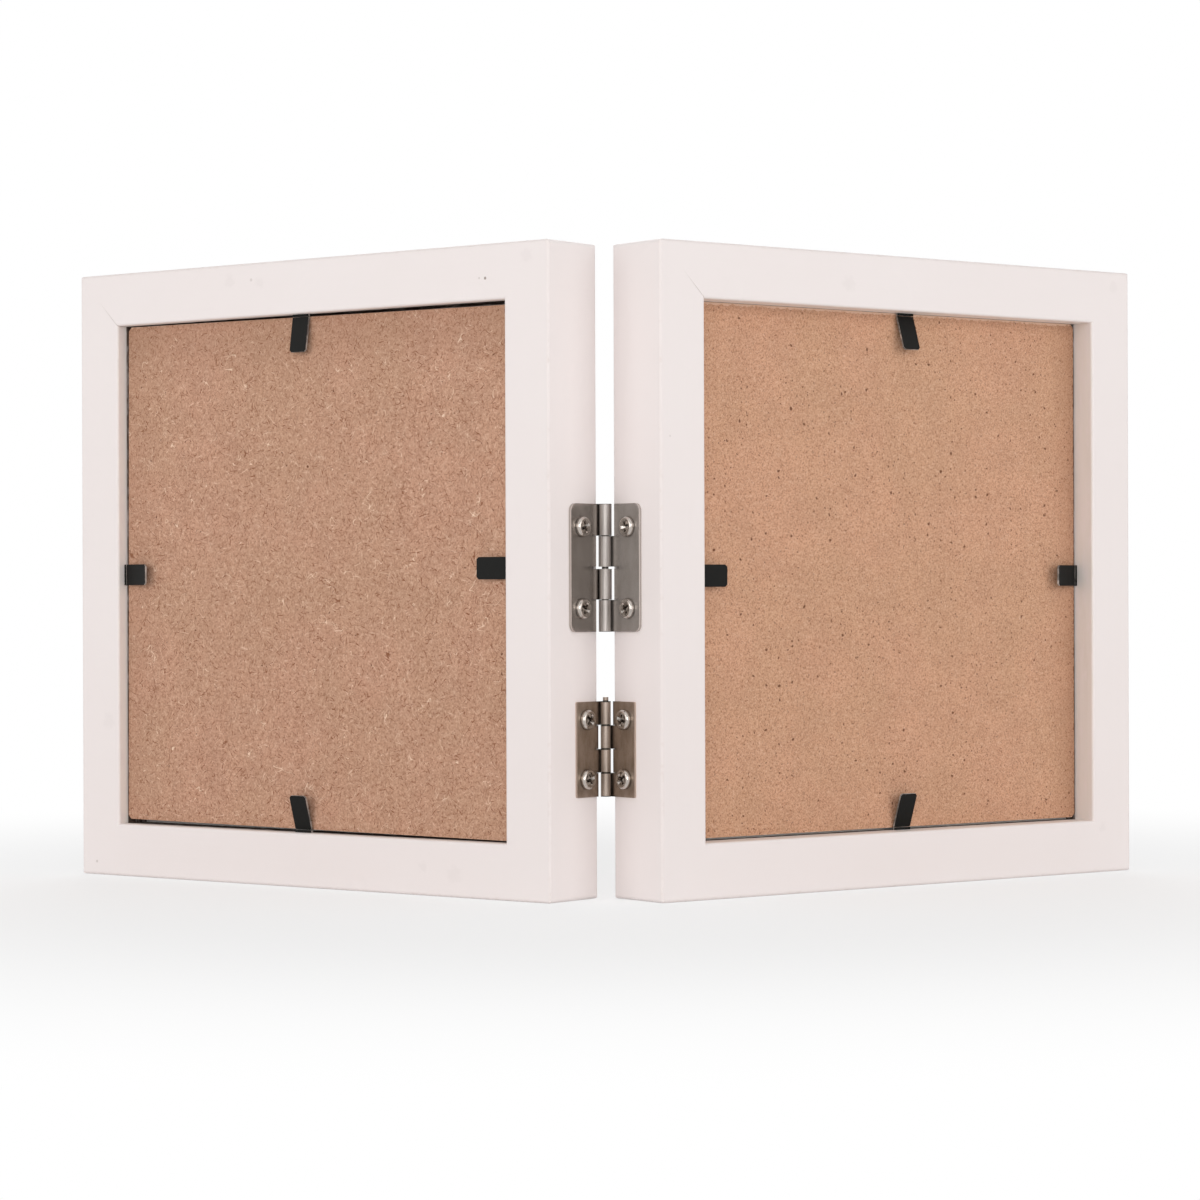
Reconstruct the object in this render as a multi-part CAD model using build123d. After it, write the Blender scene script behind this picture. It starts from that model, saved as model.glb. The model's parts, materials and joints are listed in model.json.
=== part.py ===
from build123d import *
from dataclasses import dataclass
import math
import os

# A hinged double photo frame: two mitred frames on two butt hinges, standing open in a V.
# Sizes are in millimetres. X runs across the pair, the fronts face +Y and +Z is up.
# Each frame is modelled with the hinge axis on Z and the frame along +X, then swung into place.

# Mitred frames
FRAME_WIDTH = 127.0             # outside width of one frame
FRAME_HEIGHT = 127.0            # outside height of one frame
STICK_WIDTH = 16.0              # width of the moulding across the front
LIP_WIDTH = 5.0                 # overhang of the front lip past the rebate wall
LIP_DEPTH = 5.0                 # thickness of the front lip
ARRIS_RADIUS = 0.6              # eased long edges of the moulding
CORNER_RADIUS = 0.8             # sanded corners of the joined frame
OPEN_ANGLE = 105.2              # angle between the two fronts, in degrees

# Contents of the rebate, from the lip backwards
GLASS_THICKNESS = 2.0
SHEET_THICKNESS = 0.3           # photo paper
LEFT_BOARD_THICKNESS = 5.2
RIGHT_BOARD_THICKNESS = 2.4
LEFT_BOARD_RECESS = 2.5         # from the left board to the back face
GLASS_GAP = 0.5                 # glass and sheet to the rebate's sides and top
BOARD_SIDE_GAP = 0.35           # board to the rebate's sides
BOARD_TOP_GAP = 0.25            # least gap above a board, before any lift
BOARD_BOTTOM_GAP = 0.35         # least gap below a board, before any lift
LEFT_BOARD_SKEW = 0.6           # drop of the left board towards the hinge
RIGHT_BOARD_LIFT = 0.18         # rise of the right board, held up by its tabs
BOARD_CORNER = 0.8              # worn corners of the boards

# Wedge nails across the mitres, sunk and filled over
NAIL_LEG = 3.6
NAIL_THICKNESS = 0.6
NAIL_HEIGHT = 5.5
NAIL_COVER = 1.2                # filler over the nail at the back face

# Bendable retaining tabs
TAB_WIDTH = 4.35
TAB_THICKNESS = 0.4
TAB_LENGTH = 7.0                # from the bend to the tip
TAB_STUB = 0.5                  # from the rebate wall to the bend
TAB_EMBED = 5.0                 # driven into the wood
TAB_CORNER = 0.45               # cropped tip corners
TAB_BEND_GAP = 0.1              # root to blade at the bend
TAB_BOARD_GAP = 0.25            # tab root to board
LEFT_TOP_RAISE = 1.0            # height of each tab's tip over its root
LEFT_OUTER_RAISE = 1.5
LEFT_HINGE_RAISE = 1.0
LEFT_BOTTOM_RAISE = 1.9
RIGHT_TOP_RAISE = 2.1
RIGHT_OUTER_RAISE = 2.1
RIGHT_HINGE_RAISE = 2.2
RIGHT_BOTTOM_RAISE = 2.2
LEFT_TOP_SHIFT = -2.0           # each tab from its side's middle, walking round from the lower hinge corner
LEFT_OUTER_SHIFT = 0.0
LEFT_HINGE_SHIFT = -0.7
LEFT_BOTTOM_SHIFT = 1.7
RIGHT_TOP_SHIFT = -3.7
RIGHT_OUTER_SHIFT = -0.8
RIGHT_HINGE_SHIFT = 0.9
RIGHT_BOTTOM_SHIFT = 2.4

# Hinge axis
AXIS_OUT = 1.3                  # axis to the edge face of a frame
AXIS_FORWARD = 0.85             # axis to the plane of the fronts
RUN_CLEARANCE = 0.04            # pin to knuckle bore
KNUCKLE_COUNT = 4
KNUCKLE_GAP = 0.06              # between neighbouring knuckles

# Upper hinge, larger and round-cornered
UPPER_HEIGHT = 24.8
UPPER_REACH = 9.8               # axis to the outer edge of a leaf
UPPER_SHEET = 0.6
UPPER_PIN_RADIUS = 0.66
UPPER_ROLL_ANGLE = 292.0        # turn of the rolled sheet round the pin, in degrees
UPPER_LEAF_CORNER = 1.5
UPPER_MIDDLE_GAP = 0.45         # between the two middle knuckles
UPPER_NOTCH_GAP = 0.65          # leaf to the other leaf's knuckles
UPPER_RELIEF = 1.3              # slit into the leaf beside each knuckle
UPPER_SCREW_EDGE = 3.4          # screw to the leaf's outer edge
UPPER_SCREW_INSET = 4.5         # screw to the leaf's end
UPPER_PIN_RISE = 0.0            # pin above the barrel
HINGE_SPACE = 13.5              # between the two hinges

# Lower hinge, smaller and square-cornered
LOWER_BASE = 19.8               # bottom of the leaf above the floor
LOWER_HEIGHT = 18.5
LOWER_REACH = 7.9
LOWER_SHEET = 0.42
LOWER_PIN_RADIUS = 0.54
LOWER_ROLL_ANGLE = 310.0
LOWER_LEAF_CORNER = 0.3
LOWER_MIDDLE_GAP = 0.06
LOWER_NOTCH_GAP = 0.2
LOWER_RELIEF = 0.55
LOWER_SCREW_EDGE = 3.05
LOWER_SCREW_INSET = 3.5
LOWER_PIN_RISE = 0.8

# Pan-head screws
SCREW_HEAD_RADIUS = 2.0
SCREW_HEAD_SIDE = 0.45          # straight side of the head
SCREW_HEAD_HEIGHT = 0.95
SCREW_TOP_RADIUS = 1.45         # flat top inside the shoulder
SCREW_SHANK_RADIUS = 1.1
SCREW_POINT = 1.2               # length of the tip's cone
SCREW_COVER = 3.0               # wood left between the tip and the rebate
SCREW_RECESS_SPAN = 2.4         # cross recess
SCREW_RECESS_WIDTH = 0.55
SCREW_RECESS_DEPTH = 0.7
LEAF_HOLE_GAP = 0.15            # shank to the leaf's hole
PILOT_GAP = 0.02                # shank to the wood

# Sizes that follow
BACK_WIDTH = STICK_WIDTH - LIP_WIDTH
STACK_DEPTH = LIP_DEPTH + GLASS_THICKNESS + SHEET_THICKNESS
FRAME_DEPTH = STACK_DEPTH + LEFT_BOARD_THICKNESS + LEFT_BOARD_RECESS
REBATE_WIDTH = FRAME_WIDTH - 2 * BACK_WIDTH
REBATE_HEIGHT = FRAME_HEIGHT - 2 * BACK_WIDTH
LEAN = (180.0 - OPEN_ANGLE) / 2
UPPER_BASE = LOWER_BASE + LOWER_HEIGHT + HINGE_SPACE
SCREW_BITE = BACK_WIDTH - SCREW_COVER

SIDES = ("left", "right")
BOARD_THICKNESS = {"left": LEFT_BOARD_THICKNESS, "right": RIGHT_BOARD_THICKNESS}
BOARD_SKEW = {"left": LEFT_BOARD_SKEW, "right": 0.0}
BOARD_LIFT = {"left": 0.0, "right": RIGHT_BOARD_LIFT}
TAB_RAISE = {
    "left": {"top": LEFT_TOP_RAISE, "outer": LEFT_OUTER_RAISE,
             "hinge": LEFT_HINGE_RAISE, "bottom": LEFT_BOTTOM_RAISE},
    "right": {"top": RIGHT_TOP_RAISE, "outer": RIGHT_OUTER_RAISE,
              "hinge": RIGHT_HINGE_RAISE, "bottom": RIGHT_BOTTOM_RAISE},
}
TAB_SHIFT = {
    "left": {"top": LEFT_TOP_SHIFT, "outer": LEFT_OUTER_SHIFT,
             "hinge": LEFT_HINGE_SHIFT, "bottom": LEFT_BOTTOM_SHIFT},
    "right": {"top": RIGHT_TOP_SHIFT, "outer": RIGHT_OUTER_SHIFT,
              "hinge": RIGHT_HINGE_SHIFT, "bottom": RIGHT_BOTTOM_SHIFT},
}

# Each stick's length and its place in the frame, walking round from the lower hinge corner
STICKS = {
    "bottom": (FRAME_WIDTH, Location((0, 0, 0))),
    "outer": (FRAME_HEIGHT, Pos(FRAME_WIDTH, 0, 0) * Rot(0, -90, 0)),
    "top": (FRAME_WIDTH, Pos(FRAME_WIDTH, 0, FRAME_HEIGHT) * Rot(0, 180, 0)),
    "hinge": (FRAME_HEIGHT, Pos(0, 0, FRAME_HEIGHT) * Rot(0, 90, 0)),
}
STICK_NODES = {"bottom": "bottom_rail", "outer": "outer_stile", "top": "top_rail", "hinge": "hinge_stile"}

# From a frame's own lower front corner to the hinge axis
FROM_AXIS = Pos(AXIS_OUT, -AXIS_FORWARD, 0)


@dataclass
class Hinge:
    """One butt hinge, with its sizes and its height above the floor."""
    base: float
    height: float
    reach: float
    sheet: float
    pin_radius: float
    roll_angle: float
    leaf_corner: float
    middle_gap: float
    notch_gap: float
    relief: float
    screw_edge: float
    screw_inset: float
    pin_rise: float

    @property
    def bore(self):
        return self.pin_radius + RUN_CLEARANCE

    @property
    def barrel(self):
        return self.bore + self.sheet

    @property
    def notch(self):
        return self.barrel + self.notch_gap

    @property
    def leaf_face(self):
        return AXIS_OUT - self.sheet

    def split_gap(self, split):
        """Gap at the end of a knuckle; the hinge's own two ends have none."""
        if split in (0, KNUCKLE_COUNT):
            return 0.0
        return self.middle_gap if 2 * split == KNUCKLE_COUNT else KNUCKLE_GAP

    def split_height(self, split):
        return split * self.height / KNUCKLE_COUNT

    def screw_places(self):
        """Under-head points of the two screws in one leaf."""
        for level in (self.screw_inset, self.height - self.screw_inset):
            yield Vector(self.leaf_face, self.screw_edge - self.reach, self.base + level)


HINGES = {
    "upper": Hinge(UPPER_BASE, UPPER_HEIGHT, UPPER_REACH, UPPER_SHEET, UPPER_PIN_RADIUS,
                   UPPER_ROLL_ANGLE, UPPER_LEAF_CORNER, UPPER_MIDDLE_GAP, UPPER_NOTCH_GAP,
                   UPPER_RELIEF, UPPER_SCREW_EDGE, UPPER_SCREW_INSET, UPPER_PIN_RISE),
    "lower": Hinge(LOWER_BASE, LOWER_HEIGHT, LOWER_REACH, LOWER_SHEET, LOWER_PIN_RADIUS,
                   LOWER_ROLL_ANGLE, LOWER_LEAF_CORNER, LOWER_MIDDLE_GAP, LOWER_NOTCH_GAP,
                   LOWER_RELIEF, LOWER_SCREW_EDGE, LOWER_SCREW_INSET, LOWER_PIN_RISE),
}


def axis_place():
    """Y of the hinge axis that centres the pair's outline on the origin."""
    lean = math.radians(LEAN)
    near_out = AXIS_OUT + ARRIS_RADIUS
    far_out = AXIS_OUT + FRAME_WIDTH - ARRIS_RADIUS
    front = AXIS_FORWARD + ARRIS_RADIUS
    back = AXIS_FORWARD + FRAME_DEPTH - ARRIS_RADIUS
    nearest = near_out * math.sin(lean) - back * math.cos(lean) - ARRIS_RADIUS
    farthest = far_out * math.sin(lean) - front * math.cos(lean) + ARRIS_RADIUS
    return -(nearest + farthest) / 2


def swing(shape, side):
    """Move a shape from its own frame about the hinge axis to its side of the V."""
    if side == "left":
        shape = shape.mirror(Plane.YZ)
    turn = LEAN if side == "right" else -LEAN
    return Pos(0, axis_place(), 0) * Rot(0, 0, turn) * shape


def stick_profile():
    """Rebated section of the moulding: depth along -X, width along +Y."""
    outline = Polyline(
        (0, 0),
        (0, STICK_WIDTH),
        (-LIP_DEPTH, STICK_WIDTH),
        (-LIP_DEPTH, BACK_WIDTH),
        (-FRAME_DEPTH, BACK_WIDTH),
        (-FRAME_DEPTH, 0),
        close=True,
    )
    section = make_face(outline)
    arrises = [v for v in section.vertices() if abs(v.X + LIP_DEPTH) > ARRIS_RADIUS]
    return fillet(arrises, ARRIS_RADIUS)


def mitred_stick(length):
    """One stick along +X with its outer face down, mitred at both ends."""
    blank = extrude(Plane.YZ * stick_profile(), amount=length)
    plan = make_face(Polyline(
        (0, 0),
        (length, 0),
        (length - STICK_WIDTH, STICK_WIDTH),
        (STICK_WIDTH, STICK_WIDTH),
        close=True,
    ))
    return blank & extrude(Plane.XZ * plan, amount=FRAME_DEPTH)


def sanded_block():
    """The joined frame's outline with its corners rounded over."""
    outline = Pos(FRAME_WIDTH / 2, FRAME_HEIGHT / 2) * RectangleRounded(
        FRAME_WIDTH, FRAME_HEIGHT, CORNER_RADIUS)
    return extrude(Plane.XZ * outline, amount=FRAME_DEPTH)


def wedge_nail():
    """An angled strip across the mitre at the start of a stick, one leg in each stick."""
    start = (BACK_WIDTH - NAIL_LEG) / 2
    outline = Pos(start, start) * make_face(Polyline(
        (0, 0),
        (NAIL_LEG, 0),
        (NAIL_LEG, NAIL_THICKNESS),
        (NAIL_THICKNESS, NAIL_THICKNESS),
        (NAIL_THICKNESS, NAIL_LEG),
        (0, NAIL_LEG),
        close=True,
    ))
    nail = extrude(Plane.XZ * outline, amount=NAIL_HEIGHT)
    return Pos(0, NAIL_COVER + NAIL_HEIGHT - FRAME_DEPTH, 0) * nail


def tab_depth(side):
    """Depth of a tab's middle plane behind the front face."""
    board_back = STACK_DEPTH + BOARD_THICKNESS[side]
    return board_back + TAB_BOARD_GAP + TAB_THICKNESS / 2


def tab_along(side, name):
    """Place of a tab along its stick."""
    return STICKS[name][0] / 2 + TAB_SHIFT[side][name]


def tab_root(side, name):
    """The part of a tab that is driven into the rebate wall."""
    strip = Box(TAB_WIDTH, TAB_THICKNESS, TAB_EMBED + TAB_STUB)
    height = BACK_WIDTH + (TAB_STUB - TAB_EMBED) / 2
    return Pos(tab_along(side, name), -tab_depth(side), height) * strip


def tab_blade(side, name):
    """The free part of a tab, rounded where it bends and raised off the board."""
    outline = Pos(0, TAB_LENGTH / 2) * Rectangle(TAB_WIDTH, TAB_LENGTH)
    tip = outline.vertices().group_by(Axis.Y)[-1]
    plate = extrude(Plane.XZ * chamfer(tip, TAB_CORNER), amount=TAB_THICKNESS / 2, both=True)
    bend = Rot(0, 90, 0) * Cylinder(TAB_THICKNESS / 2, TAB_WIDTH)
    angle = math.degrees(math.asin(TAB_RAISE[side][name] / TAB_LENGTH))
    bend_height = BACK_WIDTH + TAB_STUB + TAB_BEND_GAP + TAB_THICKNESS / 2
    return Pos(tab_along(side, name), -tab_depth(side), bend_height) * Rot(angle, 0, 0) * (plate + bend)


def rebate_pane(thickness, front):
    """A pane that stands on the rebate's lower wall, with its front at the given depth."""
    width = REBATE_WIDTH - 2 * GLASS_GAP
    height = REBATE_HEIGHT - GLASS_GAP
    return Pos(FRAME_WIDTH / 2, -front - thickness / 2, BACK_WIDTH + height / 2) * Box(
        width, thickness, height)


def backing_board(side):
    """A board behind the photo, slack in the rebate and perhaps askew."""
    skew = BOARD_SKEW[side]
    width = REBATE_WIDTH - 2 * BOARD_SIDE_GAP - skew
    height = REBATE_HEIGHT - BOARD_TOP_GAP - BOARD_BOTTOM_GAP - skew
    thickness = BOARD_THICKNESS[side]
    tilt = math.degrees(math.asin(skew / max(REBATE_WIDTH, REBATE_HEIGHT)))
    outline = chamfer(Rectangle(width, height).vertices(), BOARD_CORNER)
    panel = extrude(Plane.XZ * outline, amount=thickness)
    middle = BACK_WIDTH + BOARD_BOTTOM_GAP + BOARD_LIFT[side] + (height + skew) / 2
    return Pos(FRAME_WIDTH / 2, -STACK_DEPTH, middle) * Rot(0, -tilt, 0) * panel


def knuckle_section(hinge):
    """Sheet that leaves the leaf, sets over to the barrel and rolls round the pin."""
    wedge_reach = 2 * hinge.barrel
    end = math.radians(hinge.roll_angle)
    opening = make_face(Polyline(
        (0, 0),
        (wedge_reach * math.cos(end), wedge_reach * math.sin(end)),
        (wedge_reach, -wedge_reach),
        (wedge_reach, 0),
        close=True,
    ))
    neck = make_face(Polyline(
        (AXIS_OUT, -AXIS_FORWARD),
        (hinge.leaf_face, -AXIS_FORWARD),
        (hinge.bore, 0),
        (hinge.barrel, 0),
        close=True,
    ))
    return Circle(hinge.barrel) - opening + neck - Circle(hinge.bore)


def knuckle_span(hinge, index):
    """Bottom and top of a knuckle, counted from the hinge's lower end."""
    bottom = hinge.split_height(index) + hinge.split_gap(index) / 2
    top = hinge.split_height(index + 1) - hinge.split_gap(index + 1) / 2
    return bottom, top


def leaf_cutter(hinge, bottom, top, reach):
    """A block that clears the leaf's inner edge between two heights, as far as the given reach."""
    block = Box(4 * hinge.sheet, reach, top - bottom)
    return Pos(AXIS_OUT - hinge.sheet / 2, -reach / 2, (bottom + top) / 2) * block


def leaf_plate(hinge, first_knuckle):
    """The flat of a leaf, notched for the other leaf's knuckles and slit beside its own."""
    width = hinge.reach - AXIS_FORWARD
    outline = Pos(-AXIS_FORWARD - width / 2, hinge.height / 2) * Rectangle(width, hinge.height)
    outer = outline.vertices().group_by(Axis.X)[0]
    plate = Pos(hinge.leaf_face, 0, 0) * extrude(
        Plane.YZ * fillet(outer, hinge.leaf_corner), amount=hinge.sheet)
    for index in range(1 - first_knuckle, KNUCKLE_COUNT, 2):
        bottom, top = knuckle_span(hinge, index)
        bottom -= hinge.split_gap(index)
        top += hinge.split_gap(index + 1)
        plate -= leaf_cutter(hinge, bottom, top, hinge.notch)
    for split in range(1, KNUCKLE_COUNT):
        middle, half = hinge.split_height(split), hinge.split_gap(split) / 2
        plate -= leaf_cutter(hinge, middle - half, middle + half, hinge.notch + hinge.relief)
    return plate


def hinge_leaf(hinge, first_knuckle):
    """A leaf with every second knuckle, from the given one upwards."""
    leaf = leaf_plate(hinge, first_knuckle)
    section = knuckle_section(hinge)
    for index in range(first_knuckle, KNUCKLE_COUNT, 2):
        bottom, top = knuckle_span(hinge, index)
        leaf += Pos(0, 0, bottom) * extrude(section, amount=top - bottom)
    leaf = Pos(0, 0, hinge.base) * leaf
    hole = Rot(0, 90, 0) * Cylinder(SCREW_SHANK_RADIUS + LEAF_HOLE_GAP, 4 * hinge.sheet)
    for place in hinge.screw_places():
        leaf -= Pos(place) * hole
    return leaf


def hinge_pin(hinge):
    """The pin through all four knuckles."""
    length = hinge.height + hinge.pin_rise
    return Pos(0, 0, hinge.base + length / 2) * Cylinder(hinge.pin_radius, length)


def pan_head_screw(hinge):
    """A wood screw with its head's underside on XY and its shank along -Z."""
    length = hinge.sheet + SCREW_BITE
    side = Polyline(
        (0, -length),
        (SCREW_SHANK_RADIUS, SCREW_POINT - length),
        (SCREW_SHANK_RADIUS, 0),
        (SCREW_HEAD_RADIUS, 0),
        (SCREW_HEAD_RADIUS, SCREW_HEAD_SIDE),
        (SCREW_TOP_RADIUS, SCREW_HEAD_HEIGHT),
        (0, SCREW_HEAD_HEIGHT),
        close=True,
    )
    screw = revolve(Plane.XZ * make_face(side), Axis.Z)
    slot = Pos(0, 0, SCREW_HEAD_HEIGHT) * Box(
        SCREW_RECESS_SPAN, SCREW_RECESS_WIDTH, 2 * SCREW_RECESS_DEPTH)
    return screw - slot - Rot(0, 0, 90) * slot


def leaf_screws(hinge):
    """The two screws of one leaf, driven along +X."""
    return [Pos(place) * Rot(0, -90, 0) * pan_head_screw(hinge) for place in hinge.screw_places()]


def pilot_holes():
    """Holes in the edge face for the screws of both hinges, from the axis."""
    depth = SCREW_BITE + PILOT_GAP
    drill = Rot(0, 90, 0) * Cylinder(SCREW_SHANK_RADIUS + PILOT_GAP, depth)
    holes = []
    for hinge in HINGES.values():
        for place in hinge.screw_places():
            holes.append(Pos(AXIS_OUT + depth / 2, place.Y, place.Z) * drill)
    return holes


def frame_nodes(side):
    """All pieces of one frame, in the frame's own place beside the hinge axis."""
    nails = [place * wedge_nail() for _, place in STICKS.values()]
    roots = [place * tab_root(side, name) for name, (_, place) in STICKS.items()]
    block = sanded_block()
    nodes = {}
    for name, (length, place) in STICKS.items():
        stick = (place * mitred_stick(length) & block) - nails - roots
        stick = FROM_AXIS * stick
        if name == "hinge":
            stick -= pilot_holes()
        nodes[STICK_NODES[name]] = stick
        nodes[name + "_tab"] = FROM_AXIS * place * tab_blade(side, name)
    nodes["corner_nails"] = FROM_AXIS * Compound(nails)
    nodes["tab_roots"] = FROM_AXIS * Compound(roots)
    nodes["glass"] = FROM_AXIS * rebate_pane(GLASS_THICKNESS, LIP_DEPTH)
    nodes["photo_sheet"] = FROM_AXIS * rebate_pane(SHEET_THICKNESS, LIP_DEPTH + GLASS_THICKNESS)
    nodes["backing_board"] = FROM_AXIS * backing_board(side)
    return nodes


def hinge_nodes():
    """Leaves, pins and screws of both hinges, in place."""
    nodes = {}
    for name, hinge in HINGES.items():
        for side, first_knuckle in (("right", 0), ("left", 1)):
            nodes[f"{name}_hinge_{side}_leaf"] = swing(hinge_leaf(hinge, first_knuckle), side)
            nodes[f"{name}_hinge_{side}_screws"] = swing(Compound(leaf_screws(hinge)), side)
        nodes[f"{name}_hinge_pin"] = Pos(0, axis_place(), 0) * hinge_pin(hinge)
    return nodes


def main():
    os.makedirs("parts", exist_ok=True)
    nodes = hinge_nodes()
    for side in SIDES:
        for name, shape in frame_nodes(side).items():
            nodes[f"{side}_{name}"] = swing(shape, side)
    for name, shape in nodes.items():
        export_step(shape, f"parts/{name}.step")
    print("hinge axis at y =", round(axis_place(), 5))


main()
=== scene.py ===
import json
import math
from dataclasses import dataclass

import bmesh
import bpy
from mathutils import Matrix, Vector


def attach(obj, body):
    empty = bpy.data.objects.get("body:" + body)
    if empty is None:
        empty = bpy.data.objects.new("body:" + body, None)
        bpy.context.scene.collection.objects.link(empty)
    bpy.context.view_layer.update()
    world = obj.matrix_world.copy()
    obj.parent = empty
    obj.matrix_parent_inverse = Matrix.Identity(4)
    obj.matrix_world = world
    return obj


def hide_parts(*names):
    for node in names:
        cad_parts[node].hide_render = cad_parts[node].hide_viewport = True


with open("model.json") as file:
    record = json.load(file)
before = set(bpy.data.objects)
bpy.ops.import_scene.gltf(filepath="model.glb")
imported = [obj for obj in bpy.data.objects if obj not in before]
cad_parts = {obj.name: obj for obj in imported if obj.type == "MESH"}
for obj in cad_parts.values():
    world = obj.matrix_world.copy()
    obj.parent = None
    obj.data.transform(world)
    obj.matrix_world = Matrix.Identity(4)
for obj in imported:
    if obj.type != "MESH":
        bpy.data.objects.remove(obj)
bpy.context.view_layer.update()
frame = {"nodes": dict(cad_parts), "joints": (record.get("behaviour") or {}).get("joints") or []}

NODES = frame["nodes"]
SIDES = ("left", "right")
STICKS = ("top_rail", "bottom_rail", "outer_stile", "hinge_stile")
TABS = ("top_tab", "bottom_tab", "outer_tab", "hinge_tab")
PER_METRE = 1000.0              # lengths are millimetres, apart from those of the floor and the lamps

# The V and its frames, as the model has them
AXIS_Y = PER_METRE * next(j for j in frame["joints"] if j["name"] == "fold")["pos_m"][1]
LEAN = math.radians(37.4)       # of each frame, away from one straight line
AXIS_OUT = 1.3                  # from the hinge axis to the frames' edge faces
AXIS_FORWARD = 0.85             # how far the axis stands ahead of the fronts
FRAME_SIZE = 127.0
FRAME_DEPTH = 15.0
LIP_DEPTH = 5.0
BACK_WIDTH = 11.0               # of the sticks, seen from behind
OPENING_END = FRAME_SIZE - BACK_WIDTH
BOARD_BACK = {"left": 12.5, "right": 9.7}       # the boards' backs, from the front face
KNUCKLE_COUNT = 4

# Paint
PAINT_WARM = (0.865, 0.79, 0.77)
PAINT_PALE = (0.885, 0.82, 0.805)
PAINT_STREAK = (0.80, 0.73, 0.71)
WALL_LIT_PALE = (0.92, 0.87, 0.84)                 # painted light on the walls of the rebate, lighter than the paint elsewhere
# painted light on the walls of the rebate, the warmer tone
WALL_LIT_WARM = (0.91, 0.85, 0.80)
WALL_SHADE_RIGHT = (0.76, 0.70, 0.645)           # painted shade on the walls of the right frame's stiles
BARE_WOOD_AND_SHADE = (0.085, 0.047, 0.028)
MITRE_DARK = (0.40, 0.32, 0.27)
# painted shade behind the gap in the upper hinge
SLIT_SHADE = (0.10, 0.08, 0.07)
# painted shade along the outer edges
ARRIS_SHADE = (0.74, 0.65, 0.62)
ARRIS_WORN = (0.66, 0.55, 0.49)
FLECK_COLOUR = (0.30, 0.23, 0.19)
SMUDGE_COLOUR = (0.33, 0.28, 0.26)

# Flecks in the paint of the backs: across, up, radius and strength
FLECKS = {
    "left": ((77.4, 123.5, 0.45, 0.25), (15.6, 120.3, 0.4, 0.9),
             (17.1, 120.4, 0.3, 0.3), (122.6, 2.8, 0.4, 0.35)),
    "right": ((2.3, 89.3, 0.3, 0.2),),
}

# Faint smudges there: across, up and radius
SMUDGES = {
    "left": ((118.9, 32.6, 2.2), (83.5, 123.6, 1.7), (75.2, 122.8, 1.5),
             (5.4, 124.1, 1.9), (31.9, 5.6, 1.3), (23.9, 4.4, 2.4)),
    "right": ((47.9, 120.7, 2.0), (122.3, 123.8, 1.7), (118.8, 9.5, 1.3)),
}

# The corner of each frame whose mitre has opened a little: across and up
OPEN_MITRE = {"left": (FRAME_SIZE, FRAME_SIZE), "right": (0.0, FRAME_SIZE)}
MITRE_REACH = 30.0              # from that corner

# Painted shade on the edge faces, behind the gap between the upper hinge's middle knuckles
SLIT_SHADE_DEPTH = 2.5               # from the front face
SLIT_SHADE_RADIUS = 2.2

# Fibreboard
BOARD_COLOUR = {"left": (0.545, 0.307, 0.207), "right": (0.622, 0.345, 0.219)}
GREENISH = (0.9, 0.98, 0.93)                    # these three are factors on the board's colour
GRAIN_SHADE = (0.58, 0.48, 0.4)
# painted shade near the walls
EDGE_SHADE_TINT = (0.5, 0.46, 0.42)
FIBRE_LIGHT = (0.80, 0.56, 0.42)
FIBRE_DARK = (0.23, 0.08, 0.035)
PIT_DARKNESS = 0.6                              # factor on the dark fibres' colour
FIBRE_ANGLES = (8, 43, 79, 118, 152)            # degrees
CURL_LIGHT = (0.86, 0.64, 0.48)

# Curls on the left board: shift of the pattern, its scale, the thickness of its lines, and colour
CURLS = ((0.0, 0.26, 0.008, CURL_LIGHT), (19.0, 0.38, 0.01, CURL_LIGHT), (57.0, 0.2, 0.006, FIBRE_DARK))

# Painted shade on each board along its outer side and along its top: reach and strength
BOARD_SHADE = {"left": ((13.0, 0.16), (16.0, 0.28)), "right": ((9.5, 0.38), (12.0, 0.06))}

# Tabs
BLACKING = (0.005, 0.005, 0.0045)
BLACKING_GREYER = (0.011, 0.0105, 0.0095)
BLACKING_RUBBED = (0.07, 0.066, 0.062)
SHEARED_STEEL = (0.58, 0.55, 0.52)

# Leaves
# painted shade in the crease beside the barrel and in corners
CORNER_SHADE = (0.05, 0.038, 0.03)
# painted shade at the splits between knuckles
SPLIT_SHADE = (0.02, 0.016, 0.013)
TORN_DARK = (0.07, 0.06, 0.05)

# Each leaf's least roughness, and the part of its plating that has gone dull
LEAF_FINISH = {
    ("upper", "left"): (0.16, 0.0),
    ("upper", "right"): (0.18, 0.36),
    ("lower", "left"): (0.24, 0.05),
    ("lower", "right"): (0.24, 0.05),
}

# Screws
NICKEL = (0.53, 0.48, 0.44)
NICKEL_STAINED = (0.24, 0.21, 0.185)
RECESS_SHADE = (0.03, 0.025, 0.02)
HEAD_RADIUS = 2.0
HEAD_HEIGHT = 0.95
HEAD_SIDE = 0.3                 # straight part of the head's side
HEAD_EASE = ((0.1, 0.0), (0.02, 0.03), (0.0, 0.12))     # its lower edge: in from the side, and height
TOP_RADIUS = 1.5                # flat of the head, inside its rounded shoulder
SHOULDER_STEPS = 8
HEAD_SEGMENTS = 48
RECESS = ((1.22, 0.31, 0.0), (1.04, 0.26, 0.14), (0.56, 0.14, 0.75))    # arm, half width, depth
RECESS_TIP = 0.9                # deepest point
SHANK_RADIUS = 1.08
SHANK_SEGMENTS = 24
CORE_RADIUS = 0.78              # bottom of the thread
THREAD_PITCH = 1.0
THREAD_STEPS = 8                # rings in one turn of the thread
THREAD_STEEPNESS = 2.2          # of the thread's flanks
PLAIN_SHANK = 1.0               # under the head, without a thread
SCREW_BITE = 8.0                # length in the wood
SCREW_POINT = 1.2
SMOOTH_ANGLE = math.radians(32)

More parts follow.
